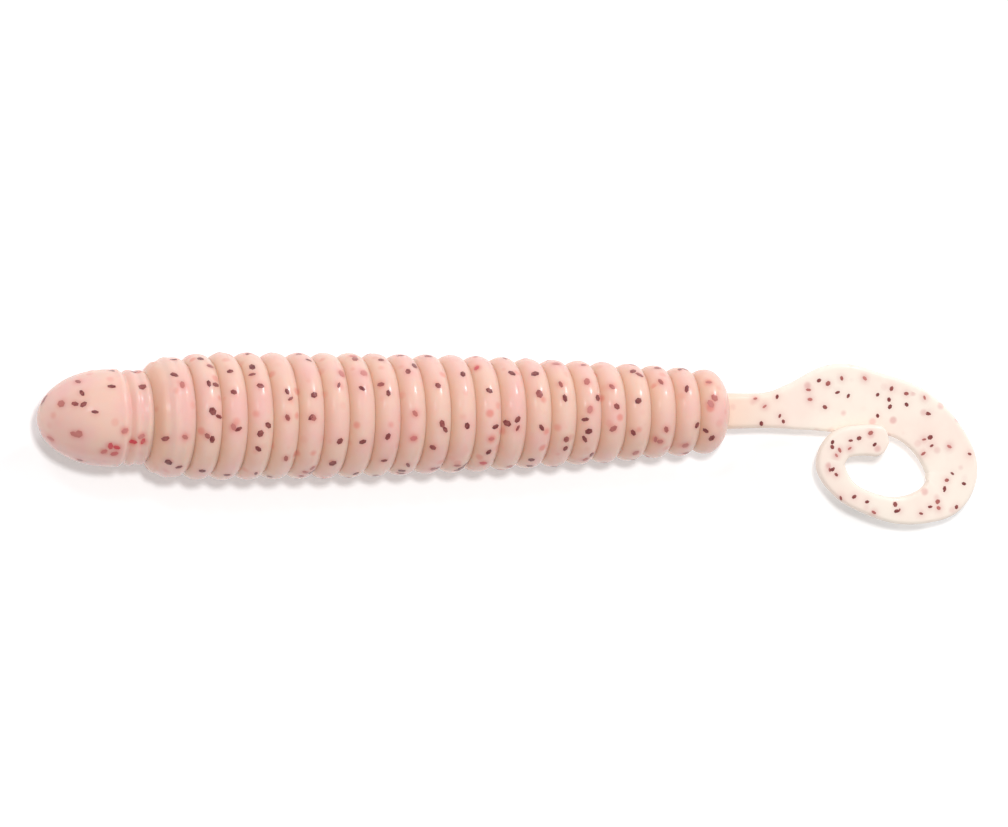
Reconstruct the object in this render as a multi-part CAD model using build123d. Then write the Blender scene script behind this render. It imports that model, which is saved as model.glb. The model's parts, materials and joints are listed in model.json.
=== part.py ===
from build123d import *
import math
import os
import random

# A soft plastic worm, 89 mm long, in millimetres.  The origin is the nose tip on
# the body axis, +X runs aft to the tail, and the curled tail lies flat across Z.
# The moulding is one piece of plastisol that flexes at its grooves.  It is divided
# at those flex lines, so that each rib and each stretch of the tail can turn.

# Nose and collar
nose_length = 6.8
nose_radius = 4.42
nose_rim = 1.0
notch_depth = 0.28
collar_length = 2.1
collar_radius = 4.31
gate_radius = 0.5
gate_depth = 0.3

# Ribbed body
rib_count = 22
rib_pitch = 2.39
shoulder_length = 2.5
groove_depth = 0.6
body_radius = 5.78
fullest_x = 17.5
front_taper = 0.012
rear_taper = 0.00095
cap_length = 2.2

# Flex lines between neighbouring ribs
groove_swing = 8.0
groove_margin = 0.3
groove_gap = 0.05

# Tail ribbon
stem_width = 3.3
stem_thickness = 1.5
tail_thickness = 1.0
fold_gap = 0.06
curl_gap = 0.2
climb_from = 5.0
climb_over = 8.5
thin_over = 2.0
tip_round = 1.1
tip_least = 0.2

# Glitter flakes
flake_across = 0.9
flake_thickness = 0.1
flake_proud = 0.01
flake_spread = 0.2
flake_room = 2.2
flakes_per_radius = 1.4
nose_flakes = 18
collar_flakes = 6

# The tail's stations: centre measured from the cap along X, centre across Y, and
# the ribbon's width there.  It leaves the cap as a narrow stem, swells to the
# blade, turns back at the rear, and ends in a tip that lies over the blade's edge.
tail_stations = [
    (0.0, 0.0, stem_width),
    (3.7, 0.05, stem_width),
    (6.3, 0.4, 4.4),
    (10.2, 1.1, 6.4),
    (13.9, 0.65, 5.6),
    (17.2, -0.35, 5.2),
    (19.8, -2.5, 5.0),
    (21.4, -5.4, 5.0),
    (20.8, -7.7, 4.6),
    (18.9, -8.9, 3.3),
    (16.3, -9.25, 2.5),
    (13.65, -8.6, 2.1),
    (11.15, -7.25, 2.15),
    (9.65, -4.95, 2.75),
    (10.5, -3.05, 2.9),
    (12.6, -2.6, 2.9),
    (15.0, -2.8, 3.05),
]
# Each stretch of the tail: its node, and the stations where it starts and ends.
tail_stretches = [
    ("tail_stem", 0.3, 2.0),
    ("tail_blade", 2.0, 5.0),
    ("tail_shoulder", 5.0, 7.0),
    ("tail_bend", 7.0, 8.6),
    ("tail_return", 8.6, 12.0),
    ("tail_turn", 12.0, 14.3),
    ("tail_tip", 14.3, 16.0),
]
# The stations where the tail folds, between one body and the next.
tail_folds = [0.3, 2.0, 5.0, 8.6, 12.0]
steps_per_station = 3
# Tail flakes: station, share of the half width across, and +1 for the upper face.
tail_flake_places = {
    "tail_stem": [(0.9, 0.3, 1), (1.4, -0.3, 1), (1.2, 0.1, -1)],
    "tail_blade": [
        (2.4, 0.5, 1), (2.7, -0.2, 1), (3.1, 0.6, 1), (3.3, 0.1, 1), (3.6, 0.7, 1),
        (4.0, 0.3, 1), (4.4, 0.0, 1), (4.7, 0.6, 1), (2.9, 0.2, -1), (3.8, 0.4, -1),
    ],
    "tail_bend": [
        (5.4, 0.4, 1), (5.8, -0.4, 1), (6.4, 0.2, 1), (7.4, 0.5, 1), (7.9, -0.1, 1),
        (6.0, 0.0, -1), (7.6, 0.3, -1),
    ],
    "tail_return": [(9.2, 0.3, 1), (10.1, 0.0, 1), (11.2, -0.1, 1), (9.6, 0.0, -1)],
    "tail_tip": [(12.9, 0.2, 1), (13.8, -0.1, 1), (14.8, 0.2, 1), (15.4, -0.2, 1)],
}

nose_end = nose_length + nose_rim
notch_radius = nose_radius - notch_depth
collar_end = nose_end + collar_length
first_crest = collar_end + shoulder_length
cap_end = first_crest + (rib_count - 1) * rib_pitch + cap_length
curl_lift = tail_thickness + curl_gap
slot_angle = math.radians(groove_swing / 2 + groove_margin)
flake_radius = flake_across / math.sqrt(3)
golden_turn = math.radians(137.5)
rng = random.Random(7)


def crest_radius(x):
    """The body's radius over the rib crests, at a place along the axis."""
    taper = front_taper if x < fullest_x else rear_taper
    return body_radius - taper * (x - fullest_x) ** 2


def groove_x(number):
    """Where a groove lies; number 1 is ahead of the first rib."""
    if number == 1:
        return collar_end
    return first_crest + (number - 1.5) * rib_pitch


def groove_radius(number):
    """The body's radius in the bottom of a groove."""
    if number == 1:
        return notch_radius
    return crest_radius(groove_x(number)) - groove_depth


def falling_arc(crest, foot):
    """An arc that leaves the crest level with the axis and drops to the foot."""
    run, drop = abs(foot[0] - crest[0]), crest[1] - foot[1]
    radius = (run**2 + drop**2) / (2 * drop)
    half = math.atan2(run, radius - drop) / 2
    side = math.copysign(radius * math.sin(half), foot[0] - crest[0])
    middle = (crest[0] + side, crest[1] - radius * (1 - math.cos(half)))
    return ThreePointArc(crest, middle, foot), radius


def spun(outline, start, end, cuts=()):
    """Close an outline from start to end down to the axis, and turn it about X."""
    points = [end, (end[0], 0), (start[0], 0), start]
    foot = Polyline([p for k, p in enumerate(points) if p != points[k - 1]])
    face = make_face(outline + foot)
    for cut in cuts:
        face -= cut
    return revolve(face, Axis.X)


def slot_cut(x, towards):
    """The half section of the slot by a groove; towards is -1 ahead, +1 behind."""
    tall = body_radius + nose_radius
    foot = x + towards * groove_gap / 2
    lean = foot + towards * tall * math.tan(slot_angle)
    return make_face(Polyline((foot, 0), (lean, tall), (x, tall), (x, 0), (foot, 0)))


def nose():
    """The bullet nose, with the small dimple that the gate leaves at its tip."""
    dome = EllipticalCenterArc((nose_length, 0), nose_length, nose_radius, 90, arc_size=90)
    rear = (nose_end, notch_radius)
    rim, _ = falling_arc((nose_length, nose_radius), rear)
    return spun(dome + rim, (0, 0), rear) - Plane.YZ * Cylinder(gate_radius, 2 * gate_depth)


def collar():
    """The plain ring behind the nose."""
    front, rear = (nose_end, notch_radius), (collar_end, notch_radius)
    arc = ThreePointArc(front, (nose_end + collar_length / 2, collar_radius), rear)
    return spun(arc, front, rear, [slot_cut(collar_end, -1)])


def rib_crest(number):
    """Where a rib's crest lies along the axis, and its radius."""
    x = first_crest + (number - 1) * rib_pitch
    return x, crest_radius(x)


def rib(number):
    """One rib from groove to groove."""
    crest = rib_crest(number)
    front = (groove_x(number), groove_radius(number))
    rear = (groove_x(number + 1), groove_radius(number + 1))
    outline = falling_arc(crest, front)[0] + falling_arc(crest, rear)[0]
    return spun(outline, front, rear, [slot_cut(front[0], 1), slot_cut(rear[0], -1)])


def last_rib():
    """The last rib, which closes in a dome and carries the start of the tail."""
    crest = rib_crest(rib_count)
    front = (groove_x(rib_count), groove_radius(rib_count))
    dome = EllipticalCenterArc((crest[0], 0), cap_length, crest[1], 0, arc_size=90)
    outline = falling_arc(crest, front)[0] + dome
    return spun(outline, front, (cap_end, 0), [slot_cut(front[0], 1)]) + tail_stub()


def ribbon(station):
    """Centre, direction, width and thickness of the tail ribbon at a station."""
    last = len(tail_stations) - 1
    index = min(int(station), last - 1)
    share = station - index
    near = [tail_stations[min(max(index + k, 0), last)] for k in (-1, 0, 1, 2)]

    def blend(column, slope=False):
        a, b, c, d = (point[column] for point in near)
        linear, square = c - a, 2 * a - 5 * b + 4 * c - d
        cube = 3 * b - a - 3 * c + d
        if slope:
            return 0.5 * (linear + 2 * square * share + 3 * cube * share**2)
        return 0.5 * (2 * b + linear * share + square * share**2 + cube * share**3)

    climb = min(max((station - climb_from) / climb_over, 0), 1)
    centre = Vector(cap_end + blend(0), blend(1), curl_lift * climb**2 * (3 - 2 * climb))
    heading = Vector(blend(0, True), blend(1, True), 0).normalized()
    thin = min(max(station / thin_over, 0), 1)
    thickness = stem_thickness + (tail_thickness - stem_thickness) * thin
    width = blend(2)
    ahead = (tail_stations[-1][0] - blend(0)) / tip_round
    if station > last - 1 and ahead < 1:
        width *= max(math.sqrt(max(1 - (1 - ahead) ** 2, 0)), tip_least)
    return centre, heading, width, thickness


def ribbon_section(station):
    """The ribbon's rectangle across its heading at a station."""
    centre, heading, width, thickness = ribbon(station)
    across = Vector(0, 0, 1).cross(heading)
    plane = Plane(origin=centre, x_dir=across, z_dir=heading)
    return plane * Rectangle(width, thickness)


def knuckle(station, spare=0.0):
    """The round edge that a fold turns on, or with spare the room cut for it."""
    centre, heading, width, thickness = ribbon(station)
    across = Vector(0, 0, 1).cross(heading)
    plane = Plane(origin=centre, x_dir=heading, z_dir=across)
    length = width if spare == 0 else width + 2
    return plane * Cylinder(thickness / 2 + spare, length)


def ribbon_solid(start, end):
    """The ribbon between two stations, as flat-sided strips side by side."""
    count = max(math.ceil((end - start) * steps_per_station), 2)
    marks = [start + (end - start) * k / count for k in range(count + 1)]
    return loft([ribbon_section(mark) for mark in marks], ruled=True)


def tail_stub():
    """The start of the stem, which the cap carries, with its round edge."""
    fold = tail_folds[0]
    centre, _, width, thickness = ribbon(fold)
    length = centre.X - rib_crest(rib_count)[0]
    middle = Location((centre.X - length / 2, centre.Y, 0))
    return middle * Box(length, width, thickness) + knuckle(fold)


def tail_stretch(start, end):
    """One stretch of the tail, with a round edge at a fold behind it."""
    solid = ribbon_solid(start, end)
    if start in tail_folds:
        solid -= knuckle(start, fold_gap)
    if end in tail_folds:
        solid += knuckle(end)
    return solid


def flake(place, normal):
    """One hexagonal flake, set into the surface at a place and turned at random."""
    plane = Plane(origin=place + normal * (flake_proud - flake_thickness), z_dir=normal)
    hexagon = RegularPolygon(flake_radius, 6, rotation=rng.uniform(0, 60))
    return extrude(plane * hexagon, flake_thickness)


def round_place(x, radius, lean, angle):
    """A point and outward direction on a round surface that leans towards +X."""
    out = Vector(0, math.cos(angle), math.sin(angle))
    place = Vector(x, 0, 0) + out * radius
    return place, Vector(math.sin(lean), 0, 0) + out * math.cos(lean)


def ring_flakes(crest_x, radius, arc, count):
    """Flakes spread round a crest whose profile is an arc."""
    flakes = []
    turn = 2 * math.pi / count
    room = turn * radius - flake_room * flake_radius
    for k in range(count):
        angle = k * turn + rng.uniform(-room, room) / 2 / radius
        lean = math.asin(rng.uniform(-flake_spread, flake_spread) / arc)
        x = crest_x + arc * math.sin(lean)
        low = arc * (1 - math.cos(lean))
        flakes.append(flake(*round_place(x, radius - low, lean, angle)))
    return flakes


def nose_flake_set():
    """Flakes spread over the nose in a spiral."""
    flakes = []
    for k in range(nose_flakes):
        x = nose_length * (k + 1.5) / (nose_flakes + 1.5)
        along = 1 - x / nose_length
        radius = nose_radius * math.sqrt(1 - along**2)
        lean = -math.atan2(along / nose_length, radius / nose_radius**2)
        flakes.append(flake(*round_place(x, radius, lean, k * golden_turn)))
    return flakes


def rib_flakes(number):
    """Flakes round one rib's crest."""
    x, radius = rib_crest(number)
    _, arc = falling_arc((x, radius), (x + rib_pitch / 2, radius - groove_depth))
    return ring_flakes(x, radius, arc, round(flakes_per_radius * radius))


def tail_flakes(places):
    """Flakes on the flat faces of the tail."""
    flakes = []
    for station, share, side in places:
        centre, heading, width, thickness = ribbon(station)
        across = Vector(0, 0, 1).cross(heading)
        up = Vector(0, 0, side)
        spot = centre + across * (share * width / 2) + up * (thickness / 2)
        flakes.append(flake(spot, up))
    return flakes


def save(name, solids):
    export_step(Compound(label=name, children=solids), f"parts/{name}.step")


os.makedirs("parts", exist_ok=True)

in_nose = nose_flake_set()
collar_rise = collar_radius - notch_radius
collar_arc = (collar_length**2 / 4 + collar_rise**2) / (2 * collar_rise)
in_collar = ring_flakes(nose_end + collar_length / 2, collar_radius, collar_arc, collar_flakes)
save("nose", [nose() - in_nose])
save("collar", [collar() - in_collar])
save("flakes_head", in_nose + in_collar)

for number in range(1, rib_count + 1):
    flakes = rib_flakes(number)
    body = last_rib() if number == rib_count else rib(number)
    save(f"rib_{number:02d}", [body - flakes])
    save(f"flakes_rib_{number:02d}", flakes)

tail_sets = {name: tail_flakes(places) for name, places in tail_flake_places.items()}
every_tail_flake = [one for flakes in tail_sets.values() for one in flakes]
for name, start, end in tail_stretches:
    save(name, [tail_stretch(start, end) - every_tail_flake])
for name, flakes in tail_sets.items():
    save(f"flakes_{name}", flakes)
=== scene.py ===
import json
import math

import bpy
import numpy as np
from mathutils import Matrix, Vector

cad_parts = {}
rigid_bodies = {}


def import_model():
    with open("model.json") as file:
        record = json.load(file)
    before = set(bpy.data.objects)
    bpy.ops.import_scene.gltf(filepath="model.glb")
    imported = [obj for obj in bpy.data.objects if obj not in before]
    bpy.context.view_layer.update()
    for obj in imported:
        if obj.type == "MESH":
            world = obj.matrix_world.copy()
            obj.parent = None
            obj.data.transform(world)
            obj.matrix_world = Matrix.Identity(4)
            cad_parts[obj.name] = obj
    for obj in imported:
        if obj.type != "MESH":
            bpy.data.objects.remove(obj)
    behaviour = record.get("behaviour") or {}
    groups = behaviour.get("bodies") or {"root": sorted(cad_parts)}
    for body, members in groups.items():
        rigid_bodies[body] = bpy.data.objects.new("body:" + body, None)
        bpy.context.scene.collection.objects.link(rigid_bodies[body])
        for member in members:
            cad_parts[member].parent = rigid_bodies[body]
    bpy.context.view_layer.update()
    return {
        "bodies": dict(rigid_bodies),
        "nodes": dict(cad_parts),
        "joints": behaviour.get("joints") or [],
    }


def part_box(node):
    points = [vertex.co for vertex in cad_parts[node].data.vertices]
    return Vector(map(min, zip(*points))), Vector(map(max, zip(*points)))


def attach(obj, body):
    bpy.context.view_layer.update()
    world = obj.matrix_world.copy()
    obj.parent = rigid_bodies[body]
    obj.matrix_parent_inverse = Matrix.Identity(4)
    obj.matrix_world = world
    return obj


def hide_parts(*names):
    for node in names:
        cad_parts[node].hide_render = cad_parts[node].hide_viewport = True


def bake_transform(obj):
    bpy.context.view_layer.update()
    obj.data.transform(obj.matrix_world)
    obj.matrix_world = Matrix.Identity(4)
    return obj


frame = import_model()

# ---------------------------------------------------------------------------
# Shape of the head and ribbed body
# One pour of soft translucent plastisol in an open mould.  The nose is a bullet, a
# plain collar with fine rings follows it, and 22 ribs run back to a small dome.
# ---------------------------------------------------------------------------
MM = 0.001
nose_rim = 1.0 * MM
notch_depth = 0.28 * MM
groove_depth = 0.6 * MM
cap_length = 2.2 * MM

hinge_into = {j["child"]: j for j in frame["joints"]}
rib_names = sorted(b for b in frame["bodies"] if b.startswith("rib_"))
groove_x = np.array([hinge_into[name]["pos_m"][0] for name in rib_names])
rib_pitch = groove_x[2] - groove_x[1]


def reach(node):
    """Farthest that a CAD node stands from the body axis."""
    low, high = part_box(node)
    return max(-low.y, high.y, -low.z, high.z)


crest_x = np.append(groove_x[1:], groove_x[-1] + rib_pitch) - rib_pitch / 2
crest_r = np.array([reach(name) for name in rib_names])
nose_r, nose_end = reach("nose"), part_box("nose")[1].x
nose_length = nose_end - nose_rim
notch_r = nose_r - notch_depth
collar_r = reach("collar")
collar_x = (nose_end + groove_x[0]) / 2
groove_r = np.append(notch_r, (crest_r[1:] + crest_r[:-1]) / 2 - groove_depth)
cap_end = crest_x[-1] + cap_length

# One row for each arc of the profile: where it starts, its crest, and its foot.
arcs = [(nose_length, nose_length, nose_r, nose_end, notch_r)]
arcs += [(nose_end, collar_x, collar_r, nose_end, notch_r)]
arcs += [(collar_x, collar_x, collar_r, groove_x[0], notch_r)]
for k in range(len(rib_names)):
    arcs += [(groove_x[k], crest_x[k], crest_r[k], groove_x[k], groove_r[k])]
    if k + 1 < len(rib_names):
        arcs += [(crest_x[k], crest_x[k], crest_r[k], groove_x[k + 1], groove_r[k + 1])]
arc_from, arc_crest, arc_top, arc_foot, arc_low = np.array(arcs).T
arc_round = ((arc_foot - arc_crest) ** 2 + (arc_top - arc_low) ** 2) / (2 * (arc_top - arc_low))


def arc_at(x):
    """Number of the arc that each x falls on."""
    return np.clip(np.searchsorted(arc_from, x, side="right") - 1, 0, len(arcs) - 1)


def skin_radius(x):
    """Radius of the body at x: an ellipse over the nose, a circular arc down each side of
    every crest, and an ellipse over the rear dome."""
    x = np.asarray(x, float)
    k = arc_at(x)
    off = np.clip((x - arc_crest[k]) / arc_round[k], -1, 1)
    radius = arc_top[k] - arc_round[k] * (1 - np.sqrt(1 - off**2))
    ahead = np.clip(1 - x / nose_length, 0, 1)
    radius = np.where(x < nose_length, nose_r * np.sqrt(1 - ahead**2), radius)
    behind = np.clip((x - crest_x[-1]) / cap_length, 0, 1)
    return np.where(x > crest_x[-1], crest_r[-1] * np.sqrt(1 - behind**2), radius)


# Fine rings round the collar: they fade in behind the nose and out over the first rib.
ring_pitch = 1.14 * MM
ring_height = 0.08 * MM
first_ring = 7.2 * MM
rings_start, rings_fade_in = 6.3 * MM, 1.2 * MM
rings_end, rings_fade_out = 13.2 * MM, 2.0 * MM
waver_height = 0.018 * MM


def skin_point(x, turn, lift=0.0):
    """Point on the body at x and at an angle from +Y towards +Z: the profile, a cosine for
    the fine rings, and a slow waver, which is the sum of three sines along spirals."""
    fade_in = np.clip((x - rings_start) / rings_fade_in, 0, 1)
    fade_out = np.clip((rings_end - x) / rings_fade_out, 0, 1)
    rings = ring_height * fade_in * fade_out * np.cos(2 * np.pi * (x - first_ring) / ring_pitch)
    waver = np.sin(x * 510 + 2 * turn) + np.sin(x * 330 - 3 * turn + 1.3)
    waver = waver_height * (waver + 0.7 * np.sin(5 * turn + x * 905))
    full = np.clip(skin_radius(x) / nose_r, 0, 1)
    radius = skin_radius(x) + (rings + waver) * full + lift
    return np.stack([x + 0 * turn, radius * np.cos(turn), radius * np.sin(turn)], -1)


# The stretches that move: the head, then each rib from its front groove to the next.
stretches = [("head", 0.0, groove_x[0])]
stretches += [
    (name, groove_x[k], groove_x[k + 1] if k + 1 < len(rib_names) else cap_end)
    for k, name in enumerate(rib_names)
]

# ---------------------------------------------------------------------------
# Glitter flakes
# Hexagons cut from dyed film, stirred into the plastisol before it is poured.  They
# set at every tilt, so most look narrowed.  Each of the frame's flakes keeps its
# place, and a few more lie between them.
# ---------------------------------------------------------------------------
rng = np.random.default_rng(11)
half_flake = 0.45 * MM
flake_columns = 12


def paint(piece, name, values):
    """Store one number for each vertex, for the material to read."""
    layer = piece.data.attributes.new(name, "FLOAT", "POINT")
    layer.data.foreach_set("value", np.asarray(values, np.float32))


def flake_places(node):
    """Centre of every separate flake in a CAD node: vertices that share a triangle take
    the lowest label among them until nothing changes."""
    grain = 1e-7
    mesh = frame["nodes"][node].data
    points = np.zeros(len(mesh.vertices) * 3)
    mesh.vertices.foreach_get("co", points)
    corners = np.zeros(len(mesh.loops), int)
    mesh.loops.foreach_get("vertex_index", corners)
    keys, same = np.unique(np.round(points.reshape(-1, 3) / grain), axis=0, return_inverse=True)
    triangles = same.reshape(-1)[corners].reshape(-1, 3)
    label = np.arange(len(keys))
    while True:
        before = label.copy()
        np.minimum.at(label, triangles, label[triangles].min(1)[:, None])
        if (label == before).all():
            break
    return np.array([keys[label == one].mean(0) * grain for one in np.unique(label)])


def flake_outline(count):
    """For each flake, rows of (u, v, depth): the upper half ring and rim, the lower rim and
    half ring.  The rim is a hexagon, turned and narrowed at random by the flake's tilt."""
    angle = np.arange(flake_columns) * 2 * np.pi / flake_columns
    side = np.pi / 3
    rim = math.cos(side / 2) / np.cos(angle % side - side / 2)
    share = np.array([0.55, 1.0, 1.0, 0.55])[:, None]
    depth = np.array([0.02, 0.012, -0.04, -0.04])[:, None] * MM
    flat_u, flat_v = share * rim * np.cos(angle), share * rim * np.sin(angle)
    size = half_flake * rng.uniform(0.68, 0.95, count)[:, None, None]
    narrow = rng.uniform(0.42, 0.85, count)[:, None, None]
    lean, spin = rng.uniform(0, np.pi, (2, count))[..., None, None]
    u = flat_u * np.cos(spin) - flat_v * np.sin(spin)
    v = (flat_u * np.sin(spin) + flat_v * np.cos(spin)) * narrow
    turned_u = u * np.cos(lean) - v * np.sin(lean)
    turned_v = u * np.sin(lean) + v * np.cos(lean)
    return turned_u * size, turned_v * size, depth + 0 * turned_u


def flake_mesh(name, rings, tone):
    """All flakes of one group as closed shells: each is four rings and two middles."""
    count, rows, cols = rings.shape[:3]
    middles = np.stack([rings[:, 0].mean(1), rings[:, -1].mean(1)], 1)
    points = np.concatenate([rings.reshape(count, -1, 3), middles], 1)
    index = np.arange(rows * cols).reshape(rows, cols)
    turned = np.roll(index, -1, 1)
    quads = np.stack([index[1:], turned[1:], turned[:-1], index[:-1]], -1).reshape(-1, 4)
    top = np.full(cols, rows * cols)
    fans = np.vstack([
        np.stack([top, index[0], turned[0]], -1),
        np.stack([top + 1, turned[-1], index[-1]], -1),
    ])
    step = (np.arange(count) * points.shape[1])[:, None, None]
    faces = (quads + step).reshape(-1, 4).tolist() + (fans + step).reshape(-1, 3).tolist()
    mesh = bpy.data.meshes.new(name)
    mesh.from_pydata(points.reshape(-1, 3).tolist(), [], faces)
    mesh.update()
    piece = bpy.data.objects.new(name, mesh)
    bpy.context.scene.collection.objects.link(piece)
    paint(piece, "tone", np.repeat(tone, points.shape[1]))
    return piece


def body_flakes(name, x, turn, tone):
    """Flakes that follow the skin of the body round each (x, turn)."""
    u, v, depth = flake_outline(len(x))
    x = x[:, None, None] + u
    around = turn[:, None, None] + v / skin_radius(x)
    return flake_mesh(name, skin_point(x, around, depth), tone)


def film(name):
    """Dyed film: from dark maroon to a strong red by each flake's tone, with a fine grain
    that lets a little of the plastisol's colour over it."""
    material = bpy.data.materials.new(name)
    material.use_nodes = True
    nodes, links = material.node_tree.nodes, material.node_tree.links
    shader = nodes["Principled BSDF"]
    tone = nodes.new("ShaderNodeAttribute")
    tone.attribute_name = "tone"
    ramp = nodes.new("ShaderNodeValToRGB")
    ramp.color_ramp.elements[0].color = (0.15, 0.026, 0.03, 1)
    ramp.color_ramp.elements[1].color = (0.62, 0.05, 0.07, 1)
    for place, colour in ((0.35, (0.24, 0.05, 0.05)), (0.6, (0.5, 0.16, 0.14)), (0.78, (0.6, 0.22, 0.2))):
        ramp.color_ramp.elements.new(place).color = (*colour, 1)
    grain = nodes.new("ShaderNodeTexNoise")
    grain.inputs["Scale"].default_value = 3500
    place = nodes.new("ShaderNodeTexCoord")
    soften = nodes.new("ShaderNodeMixRGB")
    soften.inputs["Color2"].default_value = (0.62, 0.25, 0.2, 1)
    fade = nodes.new("ShaderNodeMapRange")
    fade.inputs["From Min"].default_value = 0.35
    fade.inputs["From Max"].default_value = 0.75
    fade.inputs["To Max"].default_value = 0.35
    links.new(place.outputs["Object"], grain.inputs["Vector"])
    links.new(grain.outputs["Fac"], fade.inputs["Value"])
    links.new(fade.outputs["Result"], soften.inputs["Fac"])
    links.new(tone.outputs["Fac"], ramp.inputs["Fac"])
    links.new(ramp.outputs["Color"], soften.inputs["Color1"])
    links.new(soften.outputs["Color"], shader.inputs["Base Color"])
    shader.inputs["Roughness"].default_value = 0.32
    return material


glitter = film("glitter_film")

# Large bright flakes that lie together at the collar: X in mm, degrees, and tone.
cluster = np.array([
    (5.9, 64, 0.95), (6.5, 62, 1.0), (6.4, 52, 0.9), (7.1, 84, 0.8), (8.0, 68, 1.0), (8.9, 69, 0.95),
])
more_on_head, more_on_rib = 9, 6
clear_of_groove = 0.4 * MM
clear_of_nose_tip = 2.5 * MM
clear_of_dome_end = 1.2 * MM

flakes_in = {}
for body, start, end in stretches:
    own = flake_places("flakes_" + body)
    x, turn = own[:, 0], np.arctan2(own[:, 2], own[:, 1])
    more = more_on_head if body == "head" else more_on_rib
    low = start + (clear_of_nose_tip if body == "head" else clear_of_groove)
    high = end - (clear_of_dome_end if body == rib_names[-1] else clear_of_groove)
    x = np.append(x, rng.uniform(low, high, more))
    turn = np.append(turn, rng.uniform(-np.pi, np.pi, more))
    tone = rng.beta(1.1, 2.2, len(x))
    if body == "head":
        x = np.append(x, cluster[:, 0] * MM)
        turn = np.append(turn, np.radians(180 - cluster[:, 1]))
        tone = np.append(tone, cluster[:, 2])
    flakes_in[body] = x, turn, tone
    flakes = body_flakes("flakes_of_" + body, x, turn, tone)
    flakes.data.materials.append(glitter)
    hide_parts("flakes_" + body)
    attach(flakes, body)

# ---------------------------------------------------------------------------
# Skin of the head and ribs
# Soft vinyl with a wet gloss: light goes in and comes out warmer.  The tan in the hollows
# is painted shade over pale pink crests, weaker on the rear flank of each rib, which faces
# the light from behind.  It is one pour, made here rib by rib because each rib moves.
# ---------------------------------------------------------------------------
skin_columns = 192
around = np.linspace(0, 2 * np.pi, skin_columns, endpoint=False)


def tube_points(rings):
    """The points of all rings, then the middle of the first ring and of the last."""
    return np.vstack([rings.reshape(-1, 3), rings[0].mean(0), rings[-1].mean(0)])


def closed_tube(name, rings, sharp):
    """Mesh over rings of points: quads between neighbouring rings, and a fan over each
    end ring.  The edges along the rings numbered in sharp are sharp."""
    rows, cols = rings.shape[:2]
    index = np.arange(rows * cols).reshape(rows, cols)
    turned = np.roll(index, -1, 1)
    quads = np.stack([index[:-1], turned[:-1], turned[1:], index[1:]], -1).reshape(-1, 4)
    first_middle = np.full(cols, rows * cols)
    fans = np.vstack([
        np.stack([first_middle, turned[0], index[0]], -1),
        np.stack([first_middle + 1, index[-1], turned[-1]], -1),
    ])
    mesh = bpy.data.meshes.new(name)
    mesh.from_pydata(tube_points(rings).tolist(), [], quads.tolist() + fans.tolist())
    mesh.polygons.foreach_set("use_smooth", np.ones(len(mesh.polygons), bool))
    ends = np.zeros(len(mesh.edges) * 2, int)
    mesh.edges.foreach_get("vertices", ends)
    row = ends.reshape(-1, 2) // cols
    rim = (row[:, 0] == row[:, 1]) & np.isin(row[:, 0], sharp)
    mesh.edges.foreach_set("use_edge_sharp", rim)
    mesh.update()
    piece = bpy.data.objects.new(name, mesh)
    bpy.context.scene.collection.objects.link(piece)
    return piece


def ball_rings(groove, radius, ahead):
    """Rings of a ball round a groove's centre, at distances ahead of the groove.  The body
    behind carries it inside the one ahead, so that the groove stays shut as it opens."""
    ring_r = np.sqrt(radius**2 - ahead**2)[:, None]
    x = (groove - ahead)[:, None] + 0 * around
    return np.stack([x, ring_r * np.cos(around), ring_r * np.sin(around)], -1)


def painted_groove_shade(x):
    """Share of painted shade: how deep x lies below the line from crest to crest, to the power
    0.7, and 0.3 of that on the rear side of a crest, which faces the light from behind."""
    envelope = np.interp(x, np.append(nose_length, crest_x), np.append(nose_r, crest_r))
    envelope = np.where(x < groove_x[0], collar_r, envelope)
    share = np.clip((envelope - skin_radius(x)) / groove_depth, 0, 1) ** 0.7
    k = arc_at(x)
    behind_crest = arc_from[k] == arc_crest[k]
    return share * np.where(behind_crest, 0.3, 1.0) * (x > nose_length) * (x < crest_x[-1])


def glow_round(points, centres, strength):
    """How much a flake's colour spreads to each point: the strongest of the bells, each
    as high as its flake's strength and one glow_width wide."""
    glow_width = 0.42 * MM
    away = np.linalg.norm(points[:, None] - centres[None], axis=2)
    return (strength * np.exp(-((away / glow_width) ** 2))).max(1)


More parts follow.
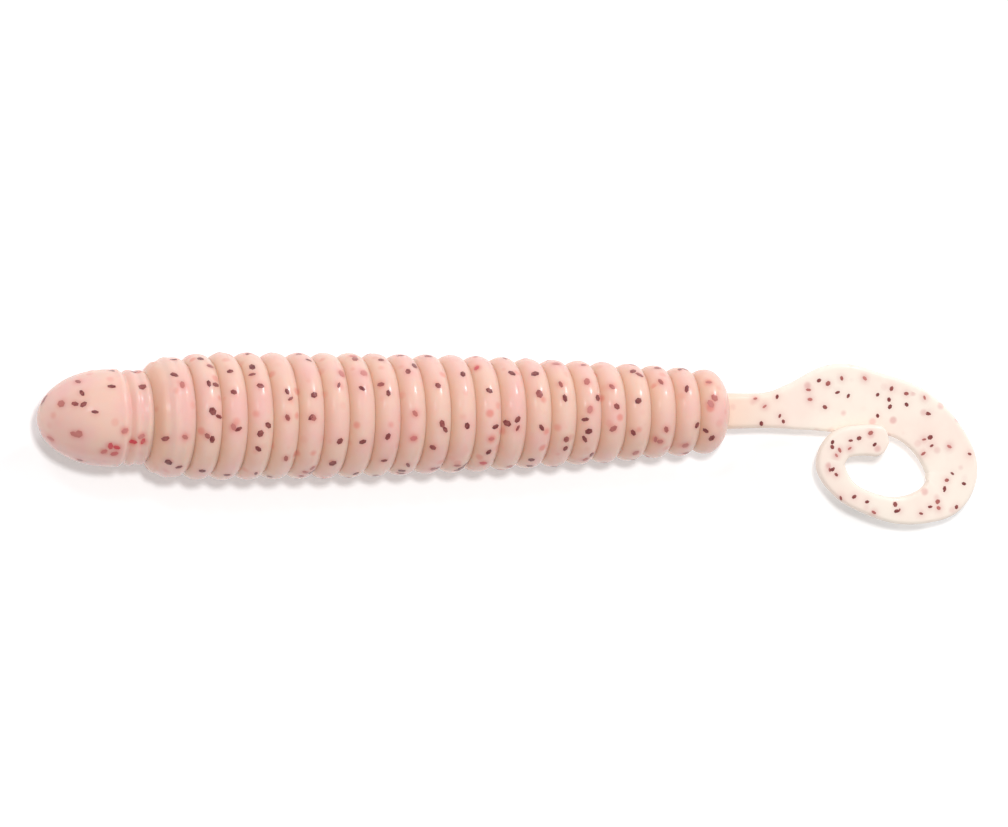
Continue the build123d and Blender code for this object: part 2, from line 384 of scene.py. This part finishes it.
def plastisol(name, crest, hollow, blush, spot, weight, spot_scale):
    """Colour from a slow noise and the groove share, which mixes in the hollow colour (painted
    shade in the body's grooves), with two sizes of soft spots: the glow painted round each
    flake, and deeper flakes from the distance to scattered points.
    The weight is the share of light that spreads inside."""
    material = bpy.data.materials.new(name)
    material.use_nodes = True
    nodes, links = material.node_tree.nodes, material.node_tree.links
    shader = nodes["Principled BSDF"]
    place = nodes.new("ShaderNodeTexCoord")

    def noise(scale, low, high):
        cloud = nodes.new("ShaderNodeTexNoise")
        cloud.inputs["Scale"].default_value = scale
        cloud.inputs["Detail"].default_value = 3
        spread = nodes.new("ShaderNodeMapRange")
        spread.inputs["From Min"].default_value = low
        spread.inputs["From Max"].default_value = high
        links.new(place.outputs["Object"], cloud.inputs["Vector"])
        links.new(cloud.outputs["Fac"], spread.inputs["Value"])
        return spread.outputs["Result"]

    def feed(socket, given):
        if isinstance(given, bpy.types.NodeSocket):
            links.new(given, socket)
        else:
            socket.default_value = given

    def mixed(share, under, over):
        mix = nodes.new("ShaderNodeMixRGB")
        feed(mix.inputs["Fac"], share)
        feed(mix.inputs["Color1"], under)
        feed(mix.inputs["Color2"], over)
        return mix.outputs["Color"]

    def product(first, second):
        times = nodes.new("ShaderNodeMath")
        times.operation = "MULTIPLY"
        feed(times.inputs[0], first)
        feed(times.inputs[1], second)
        return times.outputs["Value"]

    def painted(label):
        read = nodes.new("ShaderNodeAttribute")
        read.attribute_name = label
        return read.outputs["Fac"]

    points = nodes.new("ShaderNodeTexVoronoi")
    points.inputs["Scale"].default_value = spot_scale
    near = nodes.new("ShaderNodeMapRange")
    near.interpolation_type = "SMOOTHSTEP"
    near.inputs["From Min"].default_value = 0.3
    near.inputs["From Max"].default_value = 0.1
    chosen = nodes.new("ShaderNodeSeparateColor")
    links.new(place.outputs["Object"], points.inputs["Vector"])
    links.new(points.outputs["Distance"], near.inputs["Value"])
    links.new(points.outputs["Color"], chosen.inputs["Color"])
    deep_flakes = product(product(near.outputs["Result"], chosen.outputs["Red"]), 0.55)

    colour = mixed(noise(260, 0.4, 0.65), (*crest, 1), (*blush, 1))
    # Painted shade: the hollow colour mixed in by the groove attribute.
    colour = mixed(product(painted("groove"), 0.75), colour, (*hollow, 1))
    colour = mixed(deep_flakes, colour, (*spot, 1))
    colour = mixed(painted("glow"), colour, (*spot, 1))
    links.new(colour, shader.inputs["Base Color"])
    shader.inputs["Roughness"].default_value = 0.24
    shader.inputs["IOR"].default_value = 1.48
    shader.inputs["Subsurface Weight"].default_value = weight
    shader.inputs["Subsurface Radius"].default_value = (1.0, 0.42, 0.3)
    shader.inputs["Subsurface Scale"].default_value = 1.6 * MM
    bump = nodes.new("ShaderNodeBump")
    bump.inputs["Strength"].default_value = 0.25
    bump.inputs["Distance"].default_value = 0.05 * MM
    links.new(noise(900, 0.3, 0.7), bump.inputs["Height"])
    links.new(bump.outputs["Normal"], shader.inputs["Normal"])
    return material


# hollow is the tan of the painted shade in the grooves.
body_vinyl = plastisol(
    "body_plastisol", crest=(0.83, 0.56, 0.46), hollow=(0.76, 0.39, 0.24), blush=(0.83, 0.5, 0.45),
    spot=(0.74, 0.16, 0.13), weight=0.5, spot_scale=560,
)

rows_to_crest = 14
band_rows = 5
band_length = 0.85 * MM
band_clearance = 0.07 * MM


def skin_rows(body, start, end):
    """X of each ring of a stretch: closer together near the nose's tip and the dome's end
    by a cosine and a sine, and even on both sides of a crest."""
    if body == "head":
        bow = np.linspace(0.035, 1, 34) * np.pi / 2
        nose = nose_length * (1 - np.cos(bow))
        return np.append(nose, np.linspace(nose_length, end, 40)[1:])
    crest = crest_x[rib_names.index(body)]
    front = np.linspace(start, crest, rows_to_crest)[:-1]
    if body == rib_names[-1]:
        bow = np.linspace(0, 0.985, 26) * np.pi / 2
        return np.append(front, crest + cap_length * np.sin(bow))
    return np.append(front, np.linspace(crest, end, rows_to_crest))


for body, start, end in stretches:
    along = skin_rows(body, start, end)
    rings = skin_point(along[:, None], around[None, :])
    # Painted shade in the grooves, stored below as the groove attribute.
    tan = painted_groove_shade(along)
    sharp = []
    if body != "head":
        band_r = groove_r[rib_names.index(body)] - band_clearance
        band = ball_rings(start, band_r, np.linspace(band_length, 0, band_rows))
        rings, tan = np.concatenate([band, rings]), np.append(np.ones(band_rows), tan)
        sharp += [0, band_rows - 1, band_rows]
    if body != rib_names[-1]:
        sharp += [len(rings) - 1]
    skin = closed_tube("skin_" + body, rings, sharp)
    x, turn, tone = flakes_in[body]
    paint(skin, "groove", np.append(np.repeat(tan, skin_columns), [tan[0], tan[-1]]))
    paint(skin, "glow", glow_round(tube_points(rings), skin_point(x, turn), 0.25 + 0.6 * tone))
    skin.data.materials.append(body_vinyl)
    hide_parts(*(["nose", "collar"] if body == "head" else [body]))
    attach(skin, body)

# ---------------------------------------------------------------------------
# Tail
# A flat ribbon of the same plastisol, about a millimetre thick and paler for it.  It
# leaves the dome as a stem, swells to a blade, and curls round until its rounded tip
# lies over the blade's lower edge.  It is made fold by fold.
# ---------------------------------------------------------------------------
# Stations along the ribbon's middle: X behind the dome, Y, and width, in mm.
stations = np.array([
    (0.0, 0.0, 3.3), (3.7, 0.05, 3.3), (6.3, 0.4, 4.4), (10.2, 1.1, 6.4),
    (13.9, 0.65, 5.6), (17.2, -0.35, 5.2), (19.8, -2.5, 5.0), (21.4, -5.4, 5.0),
    (20.8, -7.7, 4.6), (18.9, -8.9, 3.3), (16.3, -9.25, 2.5), (13.65, -8.6, 2.1),
    (11.15, -7.25, 2.15), (9.65, -4.95, 2.75), (10.5, -3.05, 2.9), (12.6, -2.6, 2.9),
    (15.0, -2.8, 3.05),
]) * MM
last = len(stations) - 1
stem_thick = 1.5 * MM
tail_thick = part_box("tail_blade")[1].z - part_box("tail_blade")[0].z
thin_over = 2.0
curl_lift = 1.2 * MM
climb_from, climb_over = 5.0, 8.5
tip_round = 1.1 * MM
tip_least = 0.0004
edge_share = 0.8
crown_share = 0.06
upward = np.array([0, 0, 1.0])


def ribbon(s):
    """Middle, heading, width and thickness of the ribbon at stations s: a cubic through
    the stations that leaves each one in line with its two neighbours, a smooth climb of
    the curl, and a quarter ellipse that rounds the tip."""
    s = np.asarray(s, float)
    k = np.clip(s.astype(int), 0, last - 1)
    f = (s - k)[:, None]
    a, b, c, d = (stations[np.clip(k + j, 0, last)] for j in (-1, 0, 1, 2))
    linear, square, cube = c - a, 2 * a - 5 * b + 4 * c - d, 3 * b - a - 3 * c + d
    at = 0.5 * (2 * b + linear * f + square * f**2 + cube * f**3)
    slope = 0.5 * (linear + 2 * square * f + 3 * cube * f**2)
    climb = np.clip((s - climb_from) / climb_over, 0, 1)
    height = curl_lift * climb**2 * (3 - 2 * climb)
    middle = np.stack([cap_end + at[:, 0], at[:, 1], height], -1)
    heading = np.stack([slope[:, 0], slope[:, 1], 0 * height], -1)
    heading /= np.linalg.norm(heading, axis=1)[:, None]
    thick = stem_thick + (tail_thick - stem_thick) * np.clip(s / thin_over, 0, 1)
    ahead = np.where(s > last - 1, (stations[-1, 0] - at[:, 0]) / tip_round, 1)
    width = at[:, 2] * np.sqrt(np.clip(1 - (1 - np.clip(ahead, 0, 1)) ** 2, tip_least, 1))
    return middle, heading, width, thick


def leftward(heading):
    """Unit vectors across the ribbon: the heading turned a quarter about +Z."""
    return np.stack([-heading[:, 1], heading[:, 0], 0 * heading[:, 0]], -1)


def ribbon_rings(s):
    """Rings round the ribbon: flat faces with a slight crown, and half-round edges."""
    middle, heading, width, thick = ribbon(s)
    edge = np.linspace(0, np.pi, 11)
    flat = np.linspace(1, -1, 19)[1:-1]
    side = np.concatenate([0 * edge + 1, flat, 0 * edge - 1, -flat])
    bulge = np.concatenate([np.sin(edge), 0 * flat, -np.sin(edge), 0 * flat])
    tall = np.concatenate([-np.cos(edge), 0 * flat + 1, np.cos(edge), 0 * flat - 1])
    crown = 1 + crown_share * np.concatenate([0 * edge, 1 - flat**2, 0 * edge, 1 - flat**2])
    radius = np.minimum(edge_share * thick / 2, width * 0.45)[:, None]
    y = side * (width / 2)[:, None] - side * radius + bulge * radius
    z = tall * crown * (thick / 2)[:, None]
    return middle[:, None] + leftward(heading)[:, None] * y[..., None] + upward * z[..., None]


finest = np.linspace(0, last, 1601)
finest_middle = ribbon(finest)[0]
tail_flake_nodes = sorted(n for n in frame["nodes"] if n.startswith("flakes_tail"))
tail_places = {node: flake_places(node) for node in tail_flake_nodes}


def own_tail_flakes(start, end):
    """The frame's flakes from one station to another, by the nearest point of the ribbon's
    middle: station, share of the half width, side, and the CAD nodes that hold them."""
    found, holders = [], []
    for node, places in tail_places.items():
        away = np.linalg.norm(places[:, None, :2] - finest_middle[None, :, :2], axis=2)
        away += 2 * np.abs(places[:, None, 2] - finest_middle[None, :, 2])
        s = finest[away.argmin(1)]
        middle, heading, width, _ = ribbon(s)
        off = places - middle
        across = off[:, 1] * heading[:, 0] - off[:, 0] * heading[:, 1]
        here = (s >= start) & (s < end)
        found.append(np.stack([s, across / (width / 2), np.sign(off[:, 2])])[:, here])
        if here.any():
            holders.append(node)
    s, share, side = np.concatenate(found, 1)
    return s, share, side, holders


tail_vinyl = plastisol(
    "tail_plastisol", crest=(0.97, 0.86, 0.75), hollow=(0.9, 0.64, 0.5), blush=(0.97, 0.8, 0.7),
    spot=(0.66, 0.22, 0.22), weight=0.0, spot_scale=620,
)

flakes_per_station = 3.2
clear_of_fold = 0.12
widest_place = 0.78
tail_flake_size = 0.66
rows_per_station = 14
end_row = 0.004
root_sunk = 1.2 * MM
tan_over = 6 * MM

# Each length of the tail: its name, the stations it runs between, the fold it crosses,
# the two bodies there, half the length in mm that bends, and the CAD nodes it stands for.
lengths = [
    ("root", 0.0, 1.15, 0.3, "rib_22", "tail_stem", 1.0, ["tail_stem"]),
    ("stem", 1.15, 3.4, 2.0, "tail_stem", "tail_blade", 1.9, ["tail_blade"]),
    ("blade", 3.4, 6.6, 5.0, "tail_blade", "tail_bend", 2.2, ["tail_shoulder"]),
    ("bend", 6.6, 10.3, 8.6, "tail_bend", "tail_return", 1.4, ["tail_bend"]),
    ("return", 10.3, 13.3, 12.0, "tail_return", "tail_tip", 1.3, ["tail_return", "tail_turn"]),
    ("tip", 13.3, last, None, "tail_tip", "tail_tip", 0, ["tail_tip"]),
]
for name, start, end, fold, body, next_body, band, stands_for in lengths:
    s, share, side, holders = own_tail_flakes(start, end)
    more = int(flakes_per_station * (end - start))
    s = np.append(s, rng.uniform(start, end, more))
    s = np.clip(s, start + clear_of_fold, end - clear_of_fold)
    share = np.append(share, rng.uniform(-0.8, 0.8, more))
    share = np.clip(share, -widest_place, widest_place)
    side = np.append(side, np.where(rng.uniform(size=more) < 0.7, 1.0, -1.0))
    tone = rng.beta(1.3, 1.9, len(s)) * 0.85
    u, v, depth = flake_outline(len(s))
    middle, heading, width, thick = ribbon(s)
    across = leftward(heading)
    centre = middle + across * (share * width / 2)[:, None] + upward * (side * thick / 2)[:, None]
    crown = crown_share * (1 - share**2) * thick / 2
    u, v = tail_flake_size * u, tail_flake_size * v * side[:, None, None]
    rise = side[:, None, None] * (depth + crown[:, None, None])
    rings = (
        centre[:, None, None] + heading[:, None, None] * u[..., None]
        + across[:, None, None] * v[..., None] + upward * rise[..., None]
    )
    flakes = flake_mesh("flakes_of_tail_" + name, rings, tone)
    flakes.data.materials.append(glitter)
    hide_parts(*holders)

    rows = np.linspace(start, end, int((end - start) * rows_per_station) + 2)
    rows = np.concatenate([rows[:1], rows[:1] + end_row, rows[1:-1], rows[-1:] - end_row, rows[-1:]])
    rings = ribbon_rings(rows)
    if name == "root":
        rings[0] -= np.array([root_sunk, 0, 0])
    skin = closed_tube("skin_tail_" + name, rings, [0, len(rings) - 1])
    points = tube_points(rings)
    paint(skin, "groove", np.clip(1 - (points[:, 0] - cap_end) / tan_over, 0, 1))
    paint(skin, "glow", glow_round(points, centre, 0.12 + 0.5 * tone))
    skin.data.materials.append(tail_vinyl)
    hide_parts(*stands_for)
    for piece in (skin, flakes):
        if fold is None:
            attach(piece, body)
        else:
            middle, heading, _, _ = ribbon(np.array([fold]))
            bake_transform(piece)

# ---------------------------------------------------------------------------
# Floor, light and camera
# A round white table under a large soft light, with two small softboxes towards +Y
# whose reflections run along the ribs.  The table touches the worm's belly line.
# ---------------------------------------------------------------------------
rest_x = 33 * MM
rest_r = np.interp(rest_x, crest_x, crest_r)
rest_slope = np.interp(rest_x, crest_x[:-1], np.diff(crest_r) / np.diff(crest_x))
half_floor = 0.16
aim = Vector((43.7 * MM, 0, 0))


def floor_height(x):
    """The plane that touches the crests at the place where the worm rests."""
    return -(rest_r + rest_slope * (x - rest_x))


turns = np.linspace(0, 2 * np.pi, 128, endpoint=False)
edge_x, edge_y = aim.x + half_floor * np.cos(turns), half_floor * np.sin(turns)
floor_mesh = bpy.data.meshes.new("floor")
rim_points = np.stack([edge_x, edge_y, floor_height(edge_x)], -1)
floor_mesh.from_pydata(rim_points.tolist(), [], [list(range(len(turns)))])
floor = bpy.data.objects.new("floor", floor_mesh)
bpy.context.scene.collection.objects.link(floor)
white = bpy.data.materials.new("white_table")
white.use_nodes = True
table_top = white.node_tree.nodes["Principled BSDF"]
table_top.inputs["Base Color"].default_value = (0.9, 0.9, 0.9, 1)
table_top.inputs["Roughness"].default_value = 0.9
table_top.inputs["Specular IOR Level"].default_value = 0.0
table_top.inputs["Emission Color"].default_value = (1, 1, 1, 1)
table_top.inputs["Emission Strength"].default_value = 0.2
floor.data.materials.append(white)

world = bpy.data.worlds.new("studio")
world.use_nodes = True
world.node_tree.nodes["Background"].inputs["Color"].default_value = (1, 1, 1, 1)
world.node_tree.nodes["Background"].inputs["Strength"].default_value = 0.36
bpy.context.scene.world = world

toward_camera = Vector((-math.tan(math.radians(15)), math.tan(math.radians(10)), 1)).normalized()
camera_distance = 2.0
camera_roll = math.radians(-0.6)


def softbox(name, direction, away, size, power, tint=(1, 1, 1)):
    """A square area light that faces the worm from a direction."""
    light = bpy.data.lights.new(name, "AREA")
    light.size = size
    light.energy = power
    light.color = tint
    lamp = bpy.data.objects.new(name, light)
    direction = direction.normalized()
    facing = direction.to_track_quat("Z", "Y").to_matrix().to_4x4()
    lamp.matrix_world = Matrix.Translation(aim + direction * away) @ facing
    bpy.context.scene.collection.objects.link(lamp)
    return lamp


overhead = softbox("overhead", toward_camera + Vector((0.07, 0.11, 0)), away=1.2, size=0.09, power=6.6)
rear_box = softbox("rear_box", Vector((1.0, 0.2, 0.8)), away=0.8, size=0.3, power=1.1)
overhead.visible_glossy = rear_box.visible_glossy = False
softbox("side_box", Vector((0.46, 0.78, 0.42)), away=0.6, size=0.05, power=0.8, tint=(0.97, 0.95, 1.0))
softbox("front_box", Vector((-0.36, 0.52, 0.9)), away=0.6, size=0.05, power=0.25, tint=(0.95, 0.9, 1.0))

camera_data = bpy.data.cameras.new("camera")
camera_data.lens = 784
camera_data.sensor_width = 36
camera = bpy.data.objects.new("camera", camera_data)
right = (Vector((1, 0, 0)) - toward_camera * toward_camera.x).normalized()
right = Matrix.Rotation(camera_roll, 3, toward_camera) @ right
up = toward_camera.cross(right)
turn_to = Matrix((right, up, toward_camera)).transposed().to_4x4()
camera.matrix_world = Matrix.Translation(aim + toward_camera * camera_distance) @ turn_to
bpy.context.scene.collection.objects.link(camera)
bpy.context.scene.camera = camera
bpy.context.scene.view_settings.view_transform = "Standard"
